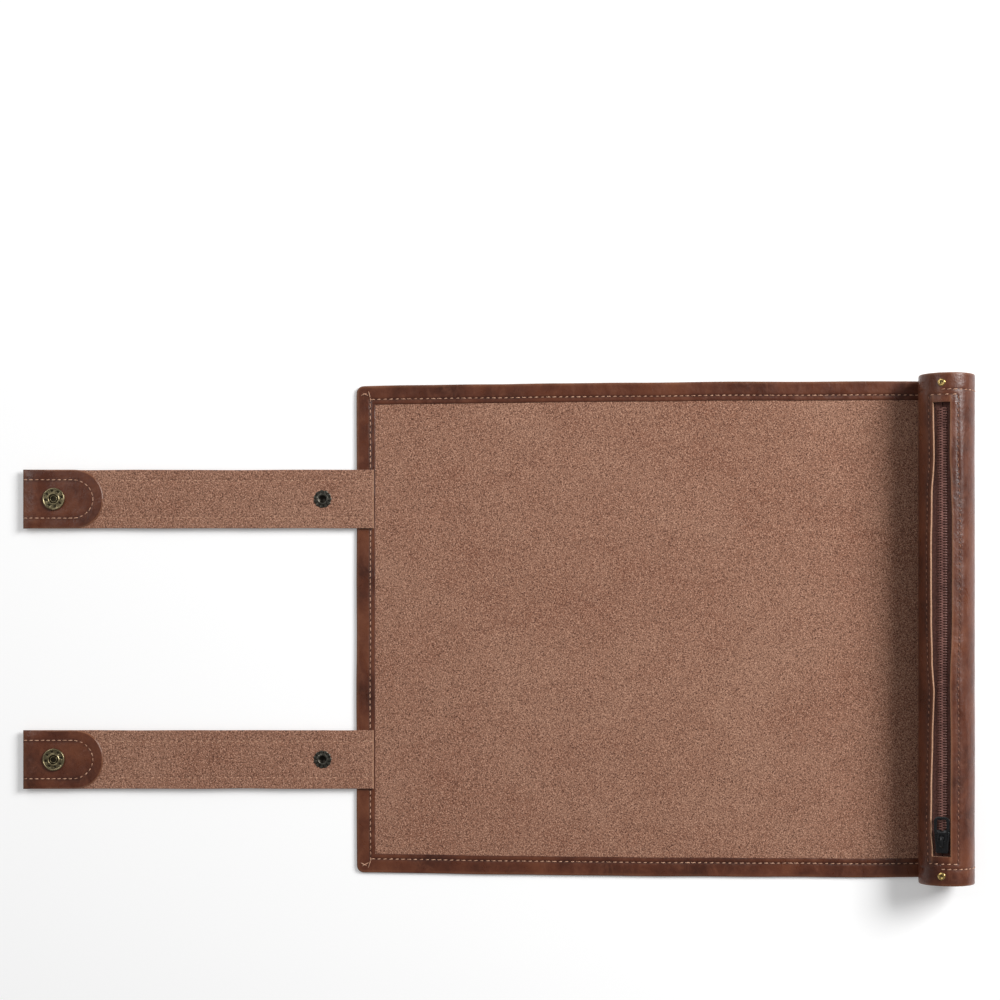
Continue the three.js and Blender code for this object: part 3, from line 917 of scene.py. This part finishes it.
# the stud stands under the strap, and its splayed back shows in the lining
def addStud(side):
    centre = middleMm(f"{side}_snap_stud")
    seat = strapSpec["leatherLow"]
    face = strapSpec["liningHigh"] - strapSpec["studSink"] - 0.02
    knob = [(0.02, 0.0), (1.2, 0.02), (1.75, 0.2), (2.0, 0.55), (1.95, 0.95), (1.72, 1.25), (1.75, 1.42),
            (4.3, 1.46), (4.75, 1.58), (4.8, 1.75), (4.7, seat - 0.03), (1.6, seat - 0.02), (1.6, face - 0.2)]
    back = ((4.0, -0.06), (4.75, -0.02), (4.9, 0.10), (4.75, 0.26), (4.4, 0.3), (3.7, 0.2),
            (3.1, 0.26), (2.75, 0.42), (2.4, 0.42), (2.1, 0.26), (1.95, 0.06), (0.02, 0.03))

    def point(index, angle, r, h):
        spot = index - len(knob)
        wave = math.cos(angle * snapSpec["petals"])
        notch = (0.5 - 0.5 * wave) ** 3         # 1 between two petals
        # painted shade between the petals and in the hollow middle of the splayed back
        dirt = 1.0 if spot >= 10 else 0.9 * notch if 1 <= spot <= 6 else 0.0
        if 1 <= spot <= 5:
            r, h = r * (1 + 0.025 * wave), h - 0.16 * notch
        return aroundAxis(centre.x, centre.y, angle, r, h), 0.0, dirt

    bag = newBag(metals["gunmetal"])
    addTurned(bag, knob + [(r, face + height) for r, height in back], 80, point)
    settle(makePiece(f"{side}_stud", bag, 55), f"{side}_strap_1", f"{side}_snap_stud")


for side in ("front", "rear"):
    addSocket(side)
    addCap(side)
    addStud(side)
print("snaps in place")


# pocket tube: turned about its own axis, with the zip slot open at the top towards the mat

tubeSpec = {
    "wall": 1.3, "tilt": 22.0, "slotEnd": 123.0, "soften": 0.132, "stitchDent": 0.22, "endDent": 0.2,
    "slotLeft": ((-119, 5.4), (-109, 6.2), (-87, 6.1), (-60, 5.4), (-35, 4.5), (-16, 5.6),
                 (5, 6.1), (38, 6.2), (70, 5.8), (95, 4.45), (119, 4.9)),
    "slotRight": ((-119, 4.8), (-60, 5.0), (-30, 4.6), (5, 5.6), (60, 5.7), (75, 5.2), (95, 4.5), (119, 4.6)),
    "swells": ((93, 15, 0.5), (-42, 13, 0.4), (20, 22, 0.2), (-95, 12, 0.25)),
    "rowLeft": 2.7, "rowRight": 4.3, "rowEnds": 4.0, "ringIn": 9.2, "ringStitches": 20,
}
tubeZ = tubeRadius
tubeTilt = math.radians(tubeSpec["tilt"])


def inTube(across, y, height):      # a point given across and up from the tube's axis
    return Vector((tubeX + across * math.cos(tubeTilt) - height * math.sin(tubeTilt), y,
                   tubeZ + across * math.sin(tubeTilt) + height * math.cos(tubeTilt)))


tubeUp = inTube(0, 0, 1) - inTube(0, 0, 0)
tubeSide = inTube(1, 0, 0) - inTube(0, 0, 0)


def onTube(angle, y, radius):
    return inTube(radius * math.sin(angle), y, radius * math.cos(angle))


# half the slot's opening at one side, as an angle
def slotAngle(y, side):
    points = tubeSpec["slotRight" if side > 0 else "slotLeft"]
    y = max(points[0][0], min(points[-1][0], y))
    for (y0, half0), (y1, half1) in zip(points, points[1:]):
        if y <= y1:
            share = (y - y0) / (y1 - y0)
            half = half0 + (half1 - half0) * share * share * (3 - 2 * share)
            return math.asin((half + 0.12 * wander(y, side * 60, 9, 7.7)) / tubeRadius)


# radius, wear and painted shade (the dirt-and-shade value) of the leather at a place
def tubeSurface(angle, y):
    spec = tubeSpec
    radius = tubeRadius - 0.05 + spec["soften"] * wander(angle * 15, y, 17, 2.9)
    arc = tubeRadius * math.atan2(math.sin(angle), math.cos(angle))
    right, left = tubeRadius * slotAngle(y, 1), -tubeRadius * slotAngle(y, -1)
    rows = lip = cross = ring = 0.0
    if abs(y) < spec["slotEnd"] + spec["rowEnds"]:
        rows = hump(arc - right - spec["rowRight"], 0.6) + hump(arc - left + spec["rowLeft"], 0.6)
        lip = hump(arc - right, 0.7) + hump(arc - left, 0.7)
        for place, reach, rise in spec["swells"]:     # the leather stands up beside the slot
            radius += rise * hump(y - place, reach) * hump(arc - right - spec["rowRight"] - 2.6, 2.0)
    if left - spec["rowLeft"] < arc < right + spec["rowRight"]:
        cross = hump(abs(y) - spec["slotEnd"] - spec["rowEnds"], 0.6)
    if arc > 0 or arc < -12:
        ring = hump(abs(y) - tubeEnd + spec["ringIn"], 0.6)
    fromEnd = tubeEnd - abs(y)
    radius += 0.1 * lip - spec["stitchDent"] * rows - spec["endDent"] * (cross + ring) - softEdge(fromEnd, 0.8) * 0.8
    wear = 0.5 * (lip + hump(fromEnd, 0.9))
    # painted shade in the dents of the stitch rows along the slot, across its ends and round the tube's ends
    return min(radius, tubeRadius + 0.5), wear, 0.6 * rows + 0.5 * (cross + ring)


def tubeLengths():
    slotEnd = tubeSpec["slotEnd"]
    half = [-tubeEnd + value for value in (0, 0.15, 0.4, 0.8, 1.6, 3.2, 5.0, 6.6, 8.0, 8.7, 9.2, 9.7, 10.6)]
    half += [-slotEnd - value for value in (4.6, 4.0, 3.4, 1.6, 0.7, 0.0)]
    return half + list(np.linspace(-slotEnd, slotEnd, 121))[1:-1] + [-value for value in reversed(half)]


# a row of leather around most of the tube, and the row that bridges the slot beyond its ends
def tubeRows(y):
    near = [0, 0.25, 0.7, 1.4, 2.1, 2.7, 3.3, 3.8, 4.3, 4.8, 5.6]
    right, left = slotAngle(y, 1), 2 * math.pi - slotAngle(y, -1)
    wrap = [right + value / tubeRadius for value in near]
    wrap += list(np.linspace(right + 6.6 / tubeRadius, left - 6.6 / tubeRadius, 60))
    wrap += [left - value / tubeRadius for value in reversed(near)]
    return wrap, list(np.linspace(left - 2 * math.pi, right, 11))[1:-1]


def addTube():
    outer, inner, wear, dirt, faces = [], [], [], [], []

    def addRow(angles, y):
        for angle in angles:
            radius, worn, grooveShade = tubeSurface(angle, y)
            outer.append(onTube(angle, y, radius))
            inner.append(onTube(angle, y, tubeRadius - tubeSpec["wall"] + softEdge(tubeEnd - abs(y), 0.5) * 0.6))
            wear.append(worn)
            dirt.append(grooveShade)
        return list(range(len(outer) - len(angles), len(outer)))

    before = ([], [])
    for y in tubeLengths():
        wrap, land = tubeRows(y)
        wrap = addRow(wrap, y)
        land = [wrap[-1]] + addRow(land, y) + [wrap[0]] if abs(y) >= tubeSpec["slotEnd"] - 1e-6 else []
        for old, new in zip(before, (wrap, land)):
            for i in range(min(len(old), len(new)) - 1):
                faces.append([old[i], old[i + 1], new[i + 1], new[i]])
        before = (wrap, land)
    bag = newBag(leather, thread, rawEdge, darkThread)
    addThick(bag, outer, inner, faces, 2, wear, dirt)
    addTubeStitches(bag)
    settle(makePiece("tube_leather", bag, 50), "pocket", "pocket_tube")


# thread shows light across the tube and dark along it
def tubeStitch(bag, angle, y, around):
    radius = tubeSurface(angle, y)[0] + 0.14
    centre = onTube(angle, y, radius)
    up = (onTube(angle, y, radius + 1) - centre).normalized()
    addStitch(bag, centre, up.cross(crosswise) if around else crosswise, up, finish=1 if around else 3)


def addTubeStitches(bag):
    spec = tubeSpec
    pitch = threadSpec["pitch"]
    reach = spec["slotEnd"] + spec["rowEnds"]
    rowLeft, rowRight = spec["rowLeft"] / tubeRadius, spec["rowRight"] / tubeRadius
    count = int(2 * reach / pitch) + 1
    for i in range(count):
        y = -reach + (i + 0.5) * 2 * reach / count
        tubeStitch(bag, slotAngle(y, 1) + rowRight, y, False)
        tubeStitch(bag, -slotAngle(y, -1) - rowLeft, y, False)
    for end in (-1, 1):
        left, right = -slotAngle(end * reach, -1) - rowLeft, slotAngle(end * reach, 1) + rowRight
        across = int((right - left) * tubeRadius / pitch)
        for i in range(across):
            tubeStitch(bag, left + (i + 0.5) * (right - left) / across, end * reach, True)
        for i in range(spec["ringStitches"]):
            angle = 0.05 + i * pitch / tubeRadius
            if angle < 3.4:
                tubeStitch(bag, angle, end * (tubeEnd - spec["ringIn"]), True)


discSpec = {"recess": 1.0, "crown": 0.56, "gap": 0.25, "segments": 64}


def addDisc(end, sign):
    low, high = boxMm(f"{end}_end_disc")
    radius = tubeRadius - tubeSpec["wall"] - discSpec["gap"]
    face = tubeEnd - discSpec["recess"]
    deep = high.y - low.y
    rings = [(0.985, -deep), (1, -deep + 0.6), (1, -0.9), (0.985, -0.35), (0.95, -0.06), (0.9, 0.02)]
    rings += [(share, discSpec["crown"] * (1 - share ** 2)) for share in (0.75, 0.55, 0.35, 0.15)]
    rings = [(radius * share, face + along) for share, along in rings] + [(0.02, face + discSpec["crown"])]

    def point(index, angle, r, along):
        x, z = sign * r * math.sin(angle), r * math.cos(angle)
        uneven = 0.12 * wander(z, x, 6, 3.3) if r < radius * 0.9 else 0
        return (tubeX + x, sign * (along + uneven), tubeZ + z), 0.5 * hump(r - radius * 0.97, 0.6), 0.0

    bag = newBag(leather)
    addTurned(bag, rings, discSpec["segments"], point)
    settle(makePiece(f"{end}_disc", bag), "pocket", f"{end}_end_disc")


tackSpec = {"radius": 2.1, "segments": 36, "shank": 4.0}


def addTack(end):
    y = middleMm(f"{end}_tack").y
    head = ((0.93, -0.05), (1, 0.06), (0.99, 0.18), (0.9, 0.34), (0.75, 0.5), (0.58, 0.55), (0.45, 0.46), (0.36, 0.3))
    rings = [(0.5, -tackSpec["shank"]), (0.55, -0.05)]
    rings += [(tackSpec["radius"] * share, rise) for share, rise in head] + [(0.02, 0.26)]

    def point(index, angle, r, rise):
        place = inTube(r * math.cos(angle), y + r * math.sin(angle), tubeRadius + 0.02 + rise)
        # painted shade in the hollow middle of the head
        return place, 0.0, 0.7 if index >= len(rings) - 2 else 0.0

    bag = newBag(metals["brightBrass"])
    addTurned(bag, rings, tackSpec["segments"], point)
    settle(makePiece(f"{end}_tack_head", bag, 60), "pocket", f"{end}_tack")


addTube()
for end, sign in (("front", -1), ("rear", 1)):
    addDisc(end, sign)
    addTack(end)
print("pocket in place")


# zip: two woven tapes, a coil of interlocking loops, a cast slider and its loop pull

zipSpec = {
    "tapeHalf": 6.6, "tapeTop": 11.93, "tapeThick": 0.5, "pitch": 1.42, "toothReach": 2.45, "toothThick": 0.62,
    "coilRise": 0.85, "length": 126.6, "coilLength": 121.0, "cordAt": 1.55, "cordRise": 0.42,
}


def addZipHalf(name, side):
    spec = zipSpec
    acrosses = [0.18, 0.9, 2.2, 3.2, 4.4, 5.6, spec["tapeHalf"]]

    def point(y, across):
        sag = 0.12 * wander(y, across * 3, 13, 5.5 + side) + 0.18 * hump(across - 3.0, 0.5)
        top = inTube(side * across, y, spec["tapeTop"] + sag - 0.05)
        return top, inTube(side * across, y, spec["tapeTop"] - spec["tapeThick"]), 0.0, 0.0

    bag = newBag(zipTape, zipCoil)
    addSheet(bag, np.linspace(side * spec["length"], -side * spec["length"], 90), acrosses, point)
    height = spec["tapeTop"] + spec["coilRise"]
    thick, coilEnd = spec["toothThick"], spec["coilLength"]
    for i in range(int(2 * coilEnd / spec["pitch"])):
        y = -coilEnd + (i + (0.5 if side > 0 else 0.0)) * spec["pitch"]
        points = []
        for t in np.linspace(0, 1, 6):
            across = -0.35 + (spec["toothReach"] + 0.35) * t
            lift = 0.25 * math.sin(math.pi * min(1, t * 1.1)) - 0.5 * t ** 5
            points.append(inTube(side * across, y + 0.12 * math.sin(math.pi * t), height + lift))
        addSwept(bag, points, tubeUp, thick * 1.25, thick, 1, sides=8, power=0.9)
    cord = [inTube(side * spec["cordAt"], y, height + spec["cordRise"]) for y in np.linspace(-coilEnd, coilEnd, 60)]
    addSwept(bag, cord, tubeUp, 0.34, 0.24, sides=6, power=1.0)
    settle(makePiece(f"zip_{name}", bag), "pocket", f"zip_half_{name}")


sliderSpec = {"length": 13.0, "wide": 8.2, "waist": 6.0, "low": 12.2, "plate": 13.9, "top": 14.35, "bridgeTop": 15.62}
sliderY = middleMm("zip_slider").y


def sliderOutline(grow):
    half, wide, waist = [sliderSpec[key] / 2 + grow for key in ("length", "wide", "waist")]
    right = [(waist, -half), (waist + 0.5, -half + 1.0), (waist + 0.55, -1.5), (wide, 1.6), (wide, half - 1.6),
             (wide - 0.8, half - 0.4), (1.5, half), (0.5, half - 0.9)]
    return right + [(-x, y) for x, y in reversed(right)]


def addSlider():
    low, plate, top, crest = [sliderSpec[key] for key in ("low", "plate", "top", "bridgeTop")]
    bag = newBag(metals["blackEnamel"])
    layers = ((-0.25, low), (0.0, low + 0.25), (0.0, plate), (-0.18, plate + 0.28), (-0.55, top))
    rows = [[inTube(x, sliderY + y, height) for x, y in sliderOutline(grow)] for grow, height in layers]
    addFaces(bag, sum(rows, []), ringFaces(len(rows), len(rows[0])))
    rise = [(3.0, top - 0.4), (3.0, top + 0.3), (2.6, crest - 0.5), (1.8, crest - 0.12), (0.6, crest)]
    bridge = [(-y, z) for y, z in rise] + rise[::-1]
    points = [inTube(0, sliderY + y, z) for y, z in bridge]
    tangents = [b - a for a, b in zip(points[:1] + points, points[1:] + points[-1:])]
    addSwept(bag, points, [tubeSide.cross(along).normalized() for along in tangents], 1.9, 0.6)
    for edge in (-1, 1):        # raised rails along the plate's sides
        course = ((2.7, -5.4, 0.12), (2.75, -1.5, 0.05), (3.35, 1.8, 0.05), (3.35, 4.6, 0.12))
        rail = [inTube(edge * across, sliderY + y, top - sunk) for across, y, sunk in course]
        addSwept(bag, rail, tubeUp, 0.9, 0.45, sides=8, power=0.7)
    settle(makePiece("slider_body", bag, 35), "slider", "zip_slider")


pullSpec = {
    "length": 13.5, "width": 8.4, "thick": 0.55, "rim": 1.65, "corner": 1.7, "height": 14.83,
    "neckFrom": 3.7, "eyeHalf": 2.05, "eyeRim": 1.15,
}


def addPull():
    spec = pullSpec
    bag = newBag(metals["blackEnamel"])
    corner, eye = spec["corner"], spec["eyeHalf"]
    half = (spec["width"] - spec["rim"]) / 2 - corner
    near, far = spec["neckFrom"] + spec["rim"] / 2, spec["length"] - spec["rim"] / 2
    loop = []
    for cx, cy, first in ((half, far - corner, 0), (-half, far - corner, 90),
                          (-half, near + corner, 180), (half, near + corner, 270)):
        for turn in range(first, first + 91, 15):
            angle = math.radians(turn)
            loop.append((cx + corner * math.cos(angle), cy + corner * math.sin(angle)))
    neck = [(eye, near + 0.3), (eye, 1.0), (eye - 0.4, 0.25), (eye - 0.9, 0.0)]
    neck += [(-x, y) for x, y in reversed(neck)]
    loop, neck = [[inTube(x, sliderY + y, spec["height"]) for x, y in line] for line in (loop, neck)]
    addSwept(bag, loop, tubeUp, spec["rim"], spec["thick"], closed=True, sides=12, power=0.55)
    addSwept(bag, neck, tubeUp, spec["eyeRim"], spec["thick"])
    settle(makePiece("pull_loop", bag, 50), "pull", "zip_pull")


addZipHalf("mat_side", -1)
addZipHalf("outer_side", 1)
addSlider()
addPull()
print("zip in place")


# floor, light and camera

stageSpec = {
    "floor": 3.0, "floorTone": 0.9, "floorGlow": 0.19, "farGlow": 0.7, "glowFrom": 0.45, "glowTo": 1.9,
    "fill": 0.22, "sky": 0.99, "key": 38.5, "keySize": 0.85, "keyFrom": (1.35, 0.75, 1.15),
    "rim": 5.0, "rimSize": 1.2, "rimFrom": (-0.9, 0.9, 1.0),
    "gloss": 1.4, "glossSize": 0.3, "glossFrom": (-0.80, 0.35, 1.20),
}


def paintFloor(coord, spec):        # glows a little where it is seen, more so far away
    tree = coord.id_data
    path = tree.nodes.new("ShaderNodeLightPath")
    seen = path.outputs["Is Camera Ray"]
    for kind in ("Is Glossy Ray", "Is Transmission Ray"):
        seen = addNode(tree, "Math", 0, {0: seen, 1: path.outputs[kind]}, operation="MAXIMUM")
    away = addNode(tree, "VectorMath", "Value", {0: coord}, operation="LENGTH")
    level = rangeNode(away, spec["floorGlow"], spec["farGlow"], spec["glowFrom"], spec["glowTo"])
    strength = addNode(tree, "Math", 0, {0: seen, 1: level}, operation="MULTIPLY")
    glow = addNode(tree, "Emission", 0, {"Strength": strength})
    both = addNode(tree, "AddShader", 0, {0: tree.nodes["Principled BSDF"].outputs[0], 1: glow})
    setInputs(tree.nodes["Material Output"], {"Surface": both})
    return {"Base Color": (*[spec["floorTone"]] * 3, 1), "Roughness": 0.9, "Specular IOR Level": 0.1}


def addFloor():
    spec = stageSpec
    corners = ((-1, -1), (1, -1), (1, 1), (-1, 1))
    mesh = bpy.data.meshes.new("floor")
    mesh.from_pydata([(x * spec["floor"], y * spec["floor"], -0.0002) for x, y in corners], [], [(0, 1, 2, 3)])
    mesh.materials.append(makeMaterial("paleFloor", spec, paintFloor))
    newObject("floor", mesh)


def addLamp(name):
    lamp = bpy.data.lights.new(name, "AREA")
    lamp.energy = stageSpec[name]
    lamp.size = stageSpec[name + "Size"]
    place = Vector(stageSpec[name + "From"])
    holder = newObject(name, lamp)
    holder.location = place
    holder.rotation_euler = (-place).to_track_quat("-Z", "Y").to_euler()


def addWorld():     # seen white, but lighting the object only softly
    world = bpy.data.worlds.new("studio")
    world.use_nodes = True
    tree = world.node_tree
    seen = addNode(tree, "LightPath", "Is Camera Ray", {})
    level = rangeNode(seen, stageSpec["fill"], stageSpec["sky"], 0.0, 1.0)
    setInputs(tree.nodes["Background"], {"Color": (1, 1, 1, 1), "Strength": level})
    bpy.context.scene.world = world


cameraSpec = {"height": 1.15, "frame": 0.5545, "shiftUp": 0.1293, "aside": 0.0021, "sensor": 36}


def addCamera():
    data = bpy.data.cameras.new("camera")
    data.sensor_width = cameraSpec["sensor"]
    data.lens = cameraSpec["sensor"] * cameraSpec["height"] / cameraSpec["frame"]
    data.shift_y = cameraSpec["shiftUp"]
    holder = newObject("camera", data)
    holder.location = (cameraSpec["aside"], 0, cameraSpec["height"])
    bpy.context.scene.camera = holder


addFloor()
for name in ("key", "rim", "gloss"):
    addLamp(name)
addWorld()
bpy.context.scene.view_settings.view_transform = "Standard"
addCamera()
print("stage ready")
